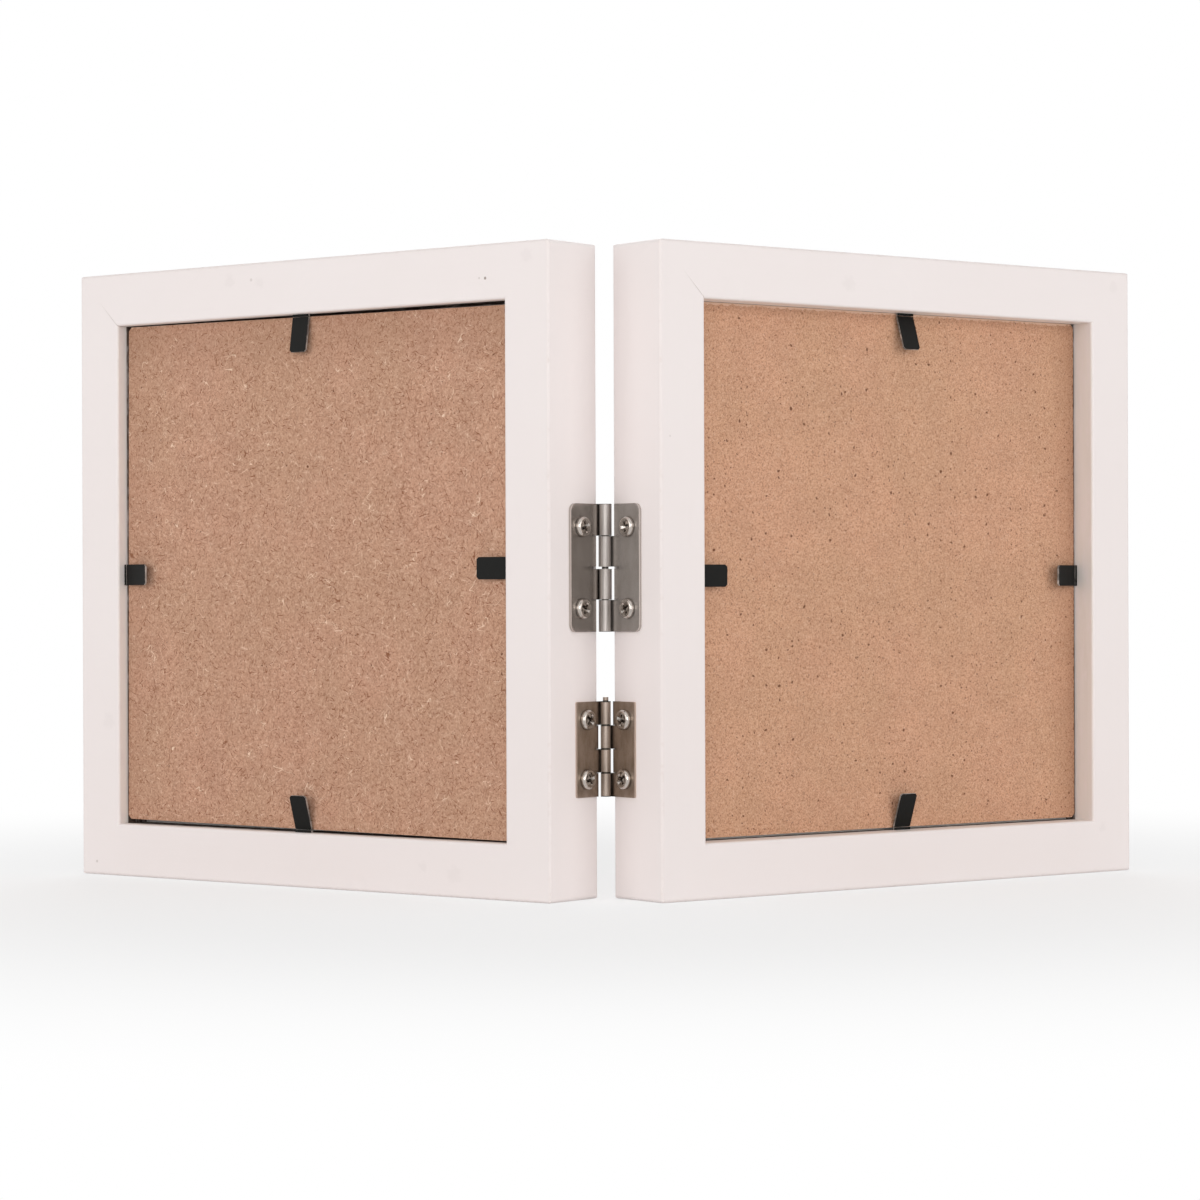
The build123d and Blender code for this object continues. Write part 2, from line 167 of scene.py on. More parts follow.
# Nails, paper and glass
NAIL_STEEL = (0.42, 0.42, 0.43)
NAIL_STAINED = (0.25, 0.20, 0.17)
PAPER_WARM = (0.80, 0.78, 0.74)
PAPER_PALE = (0.85, 0.83, 0.80)
GLASS_SHINE = (0.95, 0.965, 0.955)
GLASS_REFLECTS = 0.04           # share of the light, seen straight on
GLASS_INSET = 0.04

# Rounding of sharp edges
TAB_EASE = 0.05
PIN_EASE = 0.12
LEAF_EASE = 0.2                 # share of the sheet's thickness
EASE_ANGLE = math.radians(35)   # sharper edges than this are rounded
EASE_SEGMENTS = 3
WELD_REACH = 1e-6               # metres

# Camera, from the corners in the photograph
IMAGE_SIDE = 1200
FOCAL_PIXELS = 3487
SENSOR = 36.0
CAMERA_AHEAD = 677.0            # from the hinge axis
CAMERA_ACROSS = 0.33
CAMERA_HEIGHT = 59.05
CAMERA_DOWN = math.radians(0.093)
CAMERA_LEFT = math.radians(0.115)
CAMERA_ROLL = math.radians(-0.189)
CAMERA_CLIP = (0.01, 20.0)      # metres

# Studio, in metres and watts
WHITE = (1.0, 1.0, 1.0, 1.0)
AMBIENT = 0.55                  # even light from all around
FLOOR_COLOUR = (0.9, 0.9, 0.9, 1.0)
FLOOR_HALF = 3.0
FLOOR_FADE = (0.10, 0.30)       # distances between which the floor melts into the background
FLOOR_GLOW = (0.6, 1.0)         # share of white there
LAMP_AIM = (0.0, 0.0, 0.06)
LAMPS = {                       # place, side of the square, power
    "left_lamp": ((-1.1, -0.75, 0.36), 0.7, 3.45),
    "right_lamp": ((1.1, -0.75, 0.36), 0.7, 3.45),
    "front_lamp": ((0.0, -1.5, 0.28), 0.9, 6.4),
    "rear_lamp": ((0.0, 1.4, 0.9), 0.9, 6.0),
}


@dataclass
class Hinge:
    """One hinge: its sizes, its screws and its plating."""
    base: float                 # height of its lower end
    height: float
    reach: float                # of the leaves, back from the axis
    sheet: float                # thickness of the leaves
    barrel: float               # radius of the knuckles
    split: float                # half the width of the painted shade line between two knuckles
    screw_edge: float           # from the leaf's far edge to the screws
    screw_inset: float          # from the leaf's ends to the screws
    turns: dict                 # of each cross recess, lower screw first, in degrees
    fresh: tuple
    tarnished: tuple
    rubbed: tuple


HINGES = {
    "upper": Hinge(
        base=51.8, height=24.8, reach=9.8, sheet=0.6, barrel=1.3, split=0.15,
        screw_edge=3.4, screw_inset=4.5, turns={"left": (62, 20), "right": (35, 8)},
        fresh=(0.41, 0.375, 0.35), tarnished=(0.35, 0.315, 0.29), rubbed=(0.465, 0.42, 0.395)),
    "lower": Hinge(
        base=19.8, height=18.5, reach=7.9, sheet=0.42, barrel=1.0, split=0.25,
        screw_edge=3.05, screw_inset=3.5, turns={"left": (15, 50), "right": (40, 74)},
        fresh=(0.43, 0.353, 0.30), tarnished=(0.315, 0.25, 0.20), rubbed=(0.40, 0.325, 0.275)),
}


class Shader:
    """The nodes of one material, or of the world, and short ways to add to them."""

    def __init__(self, owner):
        owner.use_nodes = True
        self.owner = owner
        self.tree = owner.node_tree
        self.tree.nodes.clear()

    def node(self, kind, inputs=None, **settings):
        made = self.tree.nodes.new(kind)
        for key, value in settings.items():
            setattr(made, key, value)
        for key, value in (inputs or {}).items():
            self.feed(made.inputs[key], value)
        return made

    def feed(self, socket, value):
        if isinstance(value, bpy.types.NodeSocket):
            self.tree.links.new(value, socket)
        else:
            socket.default_value = value

    def math(self, operation, *values):
        made = self.node("ShaderNodeMath", operation=operation)
        for socket, value in zip(made.inputs, values):
            self.feed(socket, value)
        return made.outputs[0]

    def times(self, first, second):
        return self.math("MULTIPLY", first, second)

    def mix(self, factor, first, second):
        made = self.node("ShaderNodeMix", data_type="RGBA")
        for name, value in (("Factor_Float", factor), ("A_Color", first), ("B_Color", second)):
            socket = next(s for s in made.inputs if s.identifier == name)
            self.feed(socket, (*value, 1.0) if isinstance(value, tuple) else value)
        return next(s for s in made.outputs if s.identifier == "Result_Color")

    def cover(self, colour, coat, mask, strength):
        """A colour with a coat of another over it, as far as a mask says."""
        return self.mix(self.times(mask, strength), colour, coat)

    def fade(self, value, start, end):
        """0 before start and 1 after end, smooth between."""
        made = self.node("ShaderNodeMapRange", {"Value": value, "From Min": start, "From Max": end},
                         interpolation_type="SMOOTHSTEP")
        return made.outputs["Result"]

    def spread(self, value, low, high):
        """A 0 to 1 pattern brought to another range."""
        made = self.node("ShaderNodeMapRange", {"Value": value, "To Min": low, "To Max": high})
        return made.outputs["Result"]

    def place(self, vector, scale=(1.0, 1.0, 1.0), shift=(0.0, 0.0, 0.0)):
        made = self.node("ShaderNodeMapping", {"Vector": vector, "Scale": scale, "Location": shift})
        return made.outputs["Vector"]

    def noise(self, vector, scale, detail=2.0, roughness=0.5, distortion=0.0):
        made = self.node("ShaderNodeTexNoise", {
            "Vector": vector, "Scale": scale, "Detail": detail,
            "Roughness": roughness, "Distortion": distortion})
        return made.outputs["Fac"]

    def dots(self, vector, scale, radius, share):
        """Round spots of about that radius in a share of the cells, on a plane that faces Y."""
        flat = self.node("ShaderNodeMapping", {"Vector": vector, "Rotation": (math.pi / 2, 0.0, 0.0)})
        cells = self.node("ShaderNodeTexVoronoi", {"Vector": flat.outputs["Vector"], "Scale": scale},
                          voronoi_dimensions="2D")
        chosen = self.node("ShaderNodeSeparateColor", {"Color": cells.outputs["Color"]})
        near = self.fade(cells.outputs["Distance"], radius * scale, 0.4 * radius * scale)
        return self.times(near, self.math("LESS_THAN", chosen.outputs["Red"], share))

    def warp(self, vector, scale, reach):
        """The same places, each pushed about by a noise."""
        push = self.node("ShaderNodeTexNoise", {"Vector": vector, "Scale": scale, "Detail": 1.0})
        made = self.node("ShaderNodeVectorMath", {
            0: push.outputs["Color"], 1: (reach, reach, reach),
            2: self.place(vector, shift=(-reach / 2, -reach / 2, -reach / 2))}, operation="MULTIPLY_ADD")
        return made.outputs["Vector"]

    def hairs(self, vector, scale, width):
        """Thin curly lines along one level of a noise, broken into short lengths."""
        level = self.noise(vector, scale, detail=1.0, distortion=0.6)
        off_level = self.math("ABSOLUTE", self.math("SUBTRACT", level, 0.5))
        line = self.fade(off_level, width, 0.3 * width)
        gaps = self.noise(self.place(vector, shift=(31.0, 17.0, 5.0)), 0.9 * scale)
        return self.times(line, self.fade(gaps, 0.60, 0.64))

    def spot(self, vector, centre, radius):
        """One round spot with a soft edge."""
        made = self.node("ShaderNodeVectorMath", {0: vector, 1: centre}, operation="DISTANCE")
        return self.fade(made.outputs["Value"], radius, 0.4 * radius)

    def fibres(self, vector, angle, length, width, start, end):
        """Short strokes in a board's plane, all in one direction."""
        made = self.node("ShaderNodeMapping", {
            "Vector": vector, "Rotation": (0.0, math.radians(angle), 0.0), "Scale": (length, 1.0, width),
            "Location": (3.1 * angle, 0.0, 1.7 * angle)}, vector_type="TEXTURE")
        return self.fade(self.noise(made.outputs["Vector"], 1.0, detail=1.0), start, end)

    def object_mm(self):
        coords = self.node("ShaderNodeTexCoord")
        return self.place(coords.outputs["Object"], scale=(PER_METRE, PER_METRE, PER_METRE))

    def frame_mm(self, side):
        """Across from the hinge edge, forward from the front face (so negative) and up."""
        coords = self.node("ShaderNodeTexCoord")
        mirror = -PER_METRE if side == "left" else PER_METRE
        turned = Matrix.Rotation(-LEAN, 3, "Z") @ Vector((0.0, AXIS_Y, 0.0))
        made = self.node("ShaderNodeMapping", {
            "Vector": coords.outputs["Object"],
            "Scale": (mirror, PER_METRE, PER_METRE),
            "Rotation": (0.0, 0.0, -LEAN),
            "Location": (-turned.x - AXIS_OUT, -turned.y + AXIS_FORWARD, 0.0)})
        return made.outputs["Vector"]

    def frame_parts(self, mm):
        """Across, depth behind the front face (so positive) and up, from what frame_mm gives."""
        parts = self.node("ShaderNodeSeparateXYZ", {"Vector": mm})
        return parts.outputs["X"], self.times(parts.outputs["Y"], -1.0), parts.outputs["Z"]

    def from_edge(self, along):
        """How far a point lies inside the nearer of two opposite edges of a frame."""
        return self.math("MINIMUM", along, self.math("SUBTRACT", FRAME_SIZE, along))

    def facing(self, direction):
        """1 where the surface looks along a direction or straight against it, 0 where it looks across."""
        coords = self.node("ShaderNodeTexCoord")
        made = self.node("ShaderNodeVectorMath", {0: coords.outputs["Normal"], 1: tuple(direction)},
                         operation="DOT_PRODUCT")
        return self.math("ABSOLUTE", made.outputs["Value"])

    def corners(self, reach):
        """1 deep in corners and recesses, 0 in the open."""
        made = self.node("ShaderNodeAmbientOcclusion", {"Distance": reach / PER_METRE}, samples=8)
        return self.fade(made.outputs["AO"], 0.75, 0.25)

    def bump(self, height, distance):
        made = self.node("ShaderNodeBump", {"Height": height, "Distance": distance / PER_METRE})
        return made.outputs["Normal"]

    def finish(self, **inputs):
        """Close a material with one principled shader; keys are its sockets with _ for a space."""
        shader = self.node("ShaderNodeBsdfPrincipled")
        for key, value in inputs.items():
            socket = shader.inputs[key.replace("_", " ")]
            self.feed(socket, (*value, 1.0) if isinstance(value, tuple) else value)
        self.node("ShaderNodeOutputMaterial", {"Surface": shader.outputs[0]})
        return self.owner


def material_shader(name):
    return Shader(bpy.data.materials.new(name))


def swing(side, point):
    """A point beside the hinge axis, or a direction, turned to its side of the V."""
    mirror = -1.0 if side == "left" else 1.0
    return Matrix.Rotation(mirror * LEAN, 3, "Z") @ Vector((mirror * point[0], point[1], point[2]))


def shaded(colour, factor):
    return tuple(factor * c for c in colour)


def tinted(colour, factors):
    return tuple(f * c for f, c in zip(factors, colour))


def dress(node, material):
    """Give a CAD node one material in its slot."""
    slots = NODES[node].data.materials
    slots.clear()
    slots.append(material)


def weld(piece):
    """Join a piece's faces at their common corners."""
    joined = piece.modifiers.new("weld", "WELD")
    joined.merge_threshold = WELD_REACH


def draw_in(node, depth):
    """Move all faces of a CAD node inwards, so that light gets between it and its neighbours."""
    piece = NODES[node]
    weld(piece)
    inset = piece.modifiers.new("inset", "DISPLACE")
    inset.mid_level = 0.0
    inset.strength = -depth / PER_METRE


def soften(node, width):
    """Round a CAD node's sharp edges a little."""
    piece = NODES[node]
    weld(piece)
    bevel = piece.modifiers.new("bevel", "BEVEL")
    bevel.width = width / PER_METRE
    bevel.segments = EASE_SEGMENTS
    bevel.limit_method = "ANGLE"
    bevel.angle_limit = EASE_ANGLE
    normals = piece.modifiers.new("normals", "WEIGHTED_NORMAL")
    normals.keep_sharp = False


def white_paint(side, run):
    """Satin white paint over a stick: painted light on the walls of the rebate, painted shade on the right
    stiles' walls, behind the board, behind the upper hinge and along its edges, worn at its edges, with a
    few marks.
    """
    sh = material_shader(f"white_paint_{side}_{run}")
    mm = sh.frame_mm(side)
    across, depth, up = sh.frame_parts(mm)
    sides, ends = sh.from_edge(across), sh.from_edge(up)
    inside = sh.math("MINIMUM", sides, ends)
    along_stick = sh.place(mm, scale=(0.06, 1.0, 1.0) if run == "rail" else (1.0, 1.0, 0.06))
    streaks = sh.noise(along_stick, scale=0.9, detail=3.0)
    clouds = sh.noise(mm, scale=0.035, detail=3.0)
    colour = sh.mix(clouds, PAINT_WARM, PAINT_PALE)
    colour = sh.cover(colour, PAINT_STREAK, streaks, strength=0.08)

    # Walls of the rebate in painted light (painted shade on the right frame's stiles), and the bare wood
    # behind the board, darkened into painted shade
    smear = sh.noise(sh.place(mm, scale=(0.35, 1.0, 0.35)), scale=0.8, detail=3.0)
    ragged = sh.math("ADD", inside, sh.spread(smear, -0.3, 0.3))
    wall = sh.times(sh.fade(ragged, BACK_WIDTH - 0.2, BACK_WIDTH + 0.05),
                    sh.fade(depth, LIP_DEPTH, LIP_DEPTH + 1.0))
    # painted light on the rebate walls, painted shade instead on the right frame's stiles
    wall_second_tone = WALL_SHADE_RIGHT if (side, run) == ("right", "stile") else WALL_LIT_WARM
    wall_tones = sh.mix(sh.noise(along_stick, scale=0.5, detail=4.0), wall_second_tone, WALL_LIT_PALE)
    colour = sh.mix(wall, colour, wall_tones)
    # behind the board's back: bare wood, darkened into painted shade that shows in the slot round the board
    bare = sh.times(wall, sh.fade(depth, BOARD_BACK[side], BOARD_BACK[side] - 0.4))
    colour = sh.cover(colour, BARE_WOOD_AND_SHADE, bare, strength=0.95)

    # The open mitre
    off_mitre = sh.math("ABSOLUTE", sh.math("SUBTRACT", sides, ends))
    crack = sh.times(sh.fade(off_mitre, 0.10, 0.03), sh.fade(inside, 5.0, 10.0))
    corner_across, corner_up = OPEN_MITRE[side]
    crack = sh.times(crack, sh.spot(mm, (corner_across, -FRAME_DEPTH, corner_up), MITRE_REACH))
    colour = sh.cover(colour, MITRE_DARK, crack, strength=0.5)

    # Painted shade behind the upper hinge, on the edge face alone
    middle = HINGES["upper"].base + HINGES["upper"].height / 2
    stain = sh.times(sh.spot(mm, (0.0, -SLIT_SHADE_DEPTH, middle), SLIT_SHADE_RADIUS), sh.fade(sides, 0.1, 0.0))
    colour = sh.cover(colour, SLIT_SHADE, stain, strength=0.85)

    # Painted shade along the outer edges, and wear there
    to_face = sh.math("MINIMUM", depth, sh.math("SUBTRACT", FRAME_DEPTH, depth))
    arris = sh.fade(sh.math("MAXIMUM", inside, to_face), 0.9, 0.1)
    colour = sh.cover(colour, ARRIS_SHADE, arris, strength=0.25)
    worn = sh.times(arris, sh.fade(sh.noise(mm, scale=0.7, detail=4.0), 0.5, 0.75))
    colour = sh.cover(colour, ARRIS_WORN, worn, strength=0.22)

    # Marks on the back
    for mark_across, mark_up, radius, strength in FLECKS[side]:
        fleck = sh.spot(mm, (mark_across, -FRAME_DEPTH, mark_up), radius)
        colour = sh.cover(colour, FLECK_COLOUR, fleck, strength)
    smeared = sh.warp(mm, scale=0.8, reach=2.0)
    for mark_across, mark_up, radius in SMUDGES[side]:
        smudge = sh.spot(smeared, (mark_across, -FRAME_DEPTH, mark_up), radius)
        colour = sh.cover(colour, SMUDGE_COLOUR, smudge, strength=0.05)

    peel = sh.noise(mm, scale=1.6, detail=2.0)
    raised = sh.math("ADD", sh.times(streaks, 0.6), sh.times(peel, 0.4))
    dents = sh.noise(sh.place(mm, shift=(40.0, 3.0, 11.0)), scale=0.11, detail=0.0)
    sunk = sh.math("ADD", sh.times(sh.fade(dents, 0.74, 0.8), 1.5), sh.times(crack, 2.0))
    return sh.finish(
        Base_Color=colour,
        Roughness=sh.math("ADD", sh.spread(streaks, 0.42, 0.55), sh.times(bare, 0.45)),
        Specular_IOR_Level=0.35,
        Normal=sh.bump(sh.math("SUBTRACT", raised, sunk), 0.03))


def fibreboard(side):
    """Pressed fibreboard: hairy and greyer on the left, smoother with pinholes on the right."""
    hairy = side == "left"
    base = BOARD_COLOUR[side]
    sh = material_shader(f"{side}_fibreboard")
    mm = sh.frame_mm(side)
    patches = sh.noise(sh.place(mm, shift=(50.0, 9.0, 23.0)), scale=0.045, detail=3.0)
    clouds = sh.noise(mm, scale=0.16, detail=3.0)
    grain = sh.noise(mm, scale=2.6, detail=2.0, roughness=0.7)
    colour = sh.mix(sh.fade(clouds, 0.3, 0.7), shaded(base, 0.95), shaded(base, 1.05))
    colour = sh.cover(colour, tinted(base, GREENISH), sh.fade(patches, 0.35, 0.65), strength=0.4)
    colour = sh.mix(sh.fade(grain, 0.53, 0.23), colour, tinted(base, GRAIN_SHADE))
    colour = sh.cover(colour, FIBRE_LIGHT, sh.fade(grain, 0.5, 0.85), strength=0.7)

    # Straight fibres, and on the left board curled ones
    length, width, strength = (1.9, 0.26, 0.9) if hairy else (0.7, 0.22, 0.6)
    for angle in FIBRE_ANGLES:
        brown = sh.fibres(sh.place(mm, shift=(90.0, 8.0, 50.0)), angle, length, width, 0.69, 0.77)
        colour = sh.cover(colour, FIBRE_DARK, brown, strength)
        pale = sh.fibres(sh.place(mm, shift=(-40.0, 5.0, 20.0)), angle + 17, 1.3 * length, width, 0.69, 0.8)
        colour = sh.cover(colour, FIBRE_LIGHT, pale, 0.7 * strength)
    if hairy:
        for shift, scale, thickness, tone in CURLS:
            curls = sh.hairs(sh.place(mm, shift=(shift, 3.0, shift)), scale, thickness)
            colour = sh.cover(colour, tone, curls, strength=0.85)

    # Pinholes
    loose = sh.warp(mm, scale=1.1, reach=0.9)
    crowded = sh.fade(sh.noise(mm, scale=0.07), 0.38, 0.6)
    small = sh.dots(loose, scale=0.7, radius=0.22, share=0.06 if hairy else 0.26)
    large = sh.dots(sh.place(loose, shift=(3.0, 0.0, 7.0)), scale=0.3, radius=0.34,
                    share=0.01 if hairy else 0.13)
    pits = sh.math("MAXIMUM", sh.times(small, sh.spread(crowded, 0.35, 0.9)), sh.times(large, 0.9))
    pit_dark = shaded(FIBRE_DARK, PIT_DARKNESS)
    colour = sh.mix(pits, colour, pit_dark)

    # Painted shade along two edges, and all four frayed: dark at the sides, where the fray is partly painted
    # shade, light at the top and bottom
    across, _, up = sh.frame_parts(mm)
    for along, (reach, strength) in zip((across, up), BOARD_SHADE[side]):
        edge_shade = sh.fade(along, OPENING_END - reach, OPENING_END)
        colour = sh.cover(colour, tinted(base, EDGE_SHADE_TINT), edge_shade, strength)
    tatters = sh.spread(sh.noise(mm, scale=1.3, detail=3.0), -0.7, 0.7)
    for along, tone, strength in ((across, pit_dark, 0.6), (up, FIBRE_LIGHT, 0.4 if hairy else 0.8)):
        ragged = sh.math("ADD", sh.from_edge(along), tatters)
        fray = sh.fade(ragged, BACK_WIDTH + 0.55, BACK_WIDTH + 0.35)
        colour = sh.cover(colour, tone, fray, strength)
    return sh.finish(
        Base_Color=colour,
        Roughness=sh.spread(grain, 0.72, 0.9),
        Specular_IOR_Level=0.2,
        Normal=sh.bump(sh.math("SUBTRACT", grain, pits), 0.05))


def black_steel(side):
    """Blackened strip steel with bare sheared edges and rubbed spots."""
    sh = material_shader(f"black_steel_{side}")
    mm = sh.object_mm()
    clouds = sh.noise(mm, scale=0.8, detail=4.0)
    rubbed = sh.fade(sh.noise(mm, scale=2.2, detail=5.0, roughness=0.7), 0.62, 0.8)
    sheared = sh.fade(sh.facing(swing(side, (0.0, 1.0, 0.0))), 0.7, 0.4)
    patchy = sh.fade(sh.noise(mm, scale=0.6, detail=4.0), 0.4, 0.6)
    bare = sh.times(sheared, sh.spread(patchy, 0.35, 1.0))
    colour = sh.mix(clouds, BLACKING, BLACKING_GREYER)
    colour = sh.cover(colour, BLACKING_RUBBED, rubbed, strength=0.25)
    colour = sh.cover(colour, SHEARED_STEEL, bare, strength=0.9)
    return sh.finish(
        Base_Color=colour,
        Metallic=sh.times(bare, 0.5),
        Roughness=sh.spread(clouds, 0.42, 0.6),
        Specular_IOR_Level=0.12,
        Normal=sh.bump(rubbed, 0.02))


def plated_steel(name, side):
    """Drawn and plated sheet with fine upright lines, tarnish, a rubbed barrel, painted shade in its crease,
    corners and knuckle splits, and torn cut edges lightened as a painted highlight.
    """
    hinge = HINGES[name]
    roughness, dull = LEAF_FINISH[name, side]
    sh = material_shader(f"{name}_steel_{side}")
    mm = sh.frame_mm(side)
    across, depth, up = sh.frame_parts(mm)
    lines = sh.noise(sh.place(mm, scale=(1.0, 1.0, 0.05)), scale=9.0, detail=3.0)
    stain = sh.noise(sh.place(mm, scale=(1.0, 1.0, 0.4)), scale=0.45, detail=4.0, roughness=0.6)
    mottle = sh.noise(mm, scale=3.0, detail=3.0, roughness=0.7)
    colour = sh.mix(sh.fade(stain, 0.35, 0.7), hinge.fresh, hinge.tarnished)
    colour = sh.cover(colour, shaded(hinge.tarnished, 0.7), lines, strength=0.25)
    colour = sh.cover(colour, shaded(hinge.tarnished, 0.6), sh.fade(mottle, 0.5, 0.25), strength=0.35)

    # The barrel, painted shade in the crease beside it and in corners, and painted shade at the splits
    # between its knuckles
    squares = [sh.math("POWER", sh.math("ADD", distance, shift), 2.0)
               for distance, shift in ((across, AXIS_OUT), (depth, AXIS_FORWARD))]
    from_axis = sh.math("SQRT", sh.math("ADD", *squares))
    barrel = sh.fade(from_axis, hinge.barrel + 0.06, hinge.barrel + 0.01)
    streaks = sh.noise(sh.place(mm, scale=(1.0, 1.0, 0.02)), scale=4.0, detail=2.0)
    rubs = sh.spread(sh.fade(streaks, 0.38, 0.62), 0.1, 0.95)
    colour = sh.mix(sh.times(barrel, rubs), colour, hinge.rubbed)
    crease = sh.times(sh.fade(from_axis, hinge.barrel + 0.06, hinge.barrel + 0.12),
                      sh.fade(from_axis, hinge.barrel + 0.9, hinge.barrel + 0.35))
    corner_shade = sh.math("MAXIMUM", sh.times(crease, 0.6), sh.times(sh.corners(0.7), 0.7))
    colour = sh.mix(corner_shade, colour, CORNER_SHADE)
    half_knuckle = hinge.height / KNUCKLE_COUNT / 2
    from_split = sh.math("PINGPONG", sh.math("SUBTRACT", up, hinge.base), half_knuckle)
    split = sh.times(barrel, sh.fade(from_split, hinge.split, 0.4 * hinge.split))
    colour = sh.cover(colour, SPLIT_SHADE, split, strength=0.95)

    # Cut edges of the sheet, bare steel lightened further as a painted highlight, with a torn band along
    # their middle
    flat = sh.facing(swing(side, (1.0, 0.0, 0.0)))
    cut = sh.times(sh.fade(flat, 0.6, 0.2), sh.fade(from_axis, 3.0, 3.5))
    torn = sh.times(sh.fade(across, -0.42, -0.34), sh.fade(across, -0.14, -0.22))
    # painted highlight on the cut edges
    colour = sh.cover(colour, shaded(hinge.fresh, 1.7), cut, strength=0.9)
    colour = sh.cover(colour, TORN_DARK, sh.times(cut, torn), strength=0.45)
    return sh.finish(
        Base_Color=colour,
        Metallic=sh.spread(barrel, 1.0 - dull, 0.75),
        Roughness=sh.math("ADD", sh.spread(lines, roughness, roughness + 0.12), sh.times(barrel, 0.16)),
        Normal=sh.bump(sh.math("ADD", lines, sh.times(mottle, 0.5)), 0.006))


def bright_nickel():
    """Polished plating on the screws, with fine turning marks, some stains, and painted shade in the
    recesses and round the heads.
    """
    sh = material_shader("screw_nickel")
    mm = sh.object_mm()
    marks = sh.noise(mm, scale=6.0, detail=3.0)
    stain = sh.fade(sh.noise(mm, scale=1.7, detail=3.0), 0.5, 0.75)
    colour = sh.mix(sh.times(stain, 0.65), NICKEL, NICKEL_STAINED)
    # painted shade in the recesses and round the heads
    colour = sh.cover(colour, RECESS_SHADE, sh.corners(0.8), strength=0.9)
    return sh.finish(
        Base_Color=colour,
        Metallic=1.0,
        Roughness=sh.spread(marks, 0.08, 0.18),
        Normal=sh.bump(marks, 0.005))


def bare_steel():
    """Wedge nails inside the mitres."""
    sh = material_shader("nail_steel")
    stain = sh.noise(sh.object_mm(), scale=1.2, detail=4.0)
    return sh.finish(
        Base_Color=sh.mix(stain, NAIL_STEEL, NAIL_STAINED),
        Metallic=1.0,
        Roughness=sh.spread(stain, 0.35, 0.6))


def photo_paper():
    """Plain satin paper, with faint cloudiness and fibre."""
    sh = material_shader("photo_paper")
    mm = sh.object_mm()
    fibre = sh.noise(mm, scale=3.0, detail=4.0)
    clouds = sh.noise(mm, scale=0.04, detail=2.0)
    return sh.finish(
        Base_Color=sh.mix(clouds, PAPER_WARM, PAPER_PALE),
        Roughness=sh.spread(fibre, 0.35, 0.5),
        Normal=sh.bump(fibre, 0.01))


def clear_glass():
    """Picture glass: a mirror as far as glass reflects, with a faint haze of wiping marks, else clear."""
    sh = material_shader("glass")
    mm = sh.object_mm()
    wiped = sh.noise(sh.place(mm, scale=(0.3, 0.3, 1.0)), scale=0.15, detail=4.0, distortion=1.0)
    slant = sh.node("ShaderNodeLayerWeight", {"Blend": 0.5}).outputs["Facing"]
    shine = sh.spread(sh.math("POWER", slant, 5.0), GLASS_REFLECTS, 1.0)
    haze = sh.times(sh.fade(wiped, 0.5, 0.8), 0.02)
    return sh.finish(
        Base_Color=GLASS_SHINE,
        Metallic=1.0,
        Roughness=sh.spread(wiped, 0.02, 0.09),
        Alpha=sh.math("ADD", shine, haze))


def dress_frames():
    """Materials for everything that belongs to the two frames."""
    nail_steel = bare_steel()
    paper = photo_paper()
    glass = clear_glass()
    for side in SIDES:
        rail, stile = white_paint(side, "rail"), white_paint(side, "stile")
        for stick in STICKS:
            dress(f"{side}_{stick}", rail if stick.endswith("rail") else stile)
        dress(f"{side}_backing_board", fibreboard(side))
        tab_steel = black_steel(side)
        dress(f"{side}_tab_roots", tab_steel)
        for tab in TABS:
            dress(f"{side}_{tab}", tab_steel)
            soften(f"{side}_{tab}", TAB_EASE)
        dress(f"{side}_corner_nails", nail_steel)
        dress(f"{side}_photo_sheet", paper)
        dress(f"{side}_glass", glass)
        draw_in(f"{side}_glass", GLASS_INSET)


def ring(bm, radius, height, count):
    """A circle of points about Z."""
    turns = [2 * math.pi * i / count for i in range(count)]
    return [bm.verts.new((radius * math.cos(t), radius * math.sin(t), height)) for t in turns]


def pairs(loop):
    """Each point of a closed loop with the next one."""
    return zip(loop, loop[1:] + loop[:1])


def skin(bm, lower, upper):
    """Quads between two loops of as many points."""
    for (a, b), (c, d) in zip(pairs(lower), pairs(upper)):
        bm.faces.new((a, b, d, c))


def cross_outline(bm, span, width, height, turn):
    """The twelve corners of a cross, from the end of one arm round."""
    corners = []
    for quarter in range(4):
        angle = math.radians(turn + 90 * quarter)
        for along, aside in ((span, -width), (span, width), (width, width)):
            x = along * math.cos(angle) - aside * math.sin(angle)
            y = along * math.sin(angle) + aside * math.cos(angle)
            corners.append(bm.verts.new((x, y, height)))
    return corners


def head_profile():
    """Radius and height up the side of a pan head, from its lower edge to its flat."""
    points = [(HEAD_RADIUS - inset, height) for inset, height in HEAD_EASE]
    points.append((HEAD_RADIUS, HEAD_SIDE))
    for step in range(1, SHOULDER_STEPS + 1):
        turn = math.pi / 2 * step / SHOULDER_STEPS
        points.append((TOP_RADIUS + (HEAD_RADIUS - TOP_RADIUS) * math.cos(turn),
                       HEAD_SIDE + (HEAD_HEIGHT - HEAD_SIDE) * math.sin(turn)))
    return points


def add_head(bm, turn):
    """A pan head with a tapered cross recess. Returns its lowest ring."""
    rings = [ring(bm, radius, height, HEAD_SEGMENTS) for radius, height in head_profile()]
    for lower, upper in zip(rings, rings[1:]):
        skin(bm, lower, upper)
    mouth, waist, floor = [cross_outline(bm, arm, width, HEAD_HEIGHT - depth, turn)
                           for arm, width, depth in RECESS]
    skin(bm, waist, mouth)
    skin(bm, floor, waist)
    tip = bm.verts.new((0.0, 0.0, HEAD_HEIGHT - RECESS_TIP))
    for a, b in pairs(floor):
        bm.faces.new((tip, a, b))
    rim = [bm.edges.get(pair) for loop in (rings[-1], mouth) for pair in pairs(loop)]
    bmesh.ops.triangle_fill(bm, edges=rim, use_beauty=True)
    return rings[0]


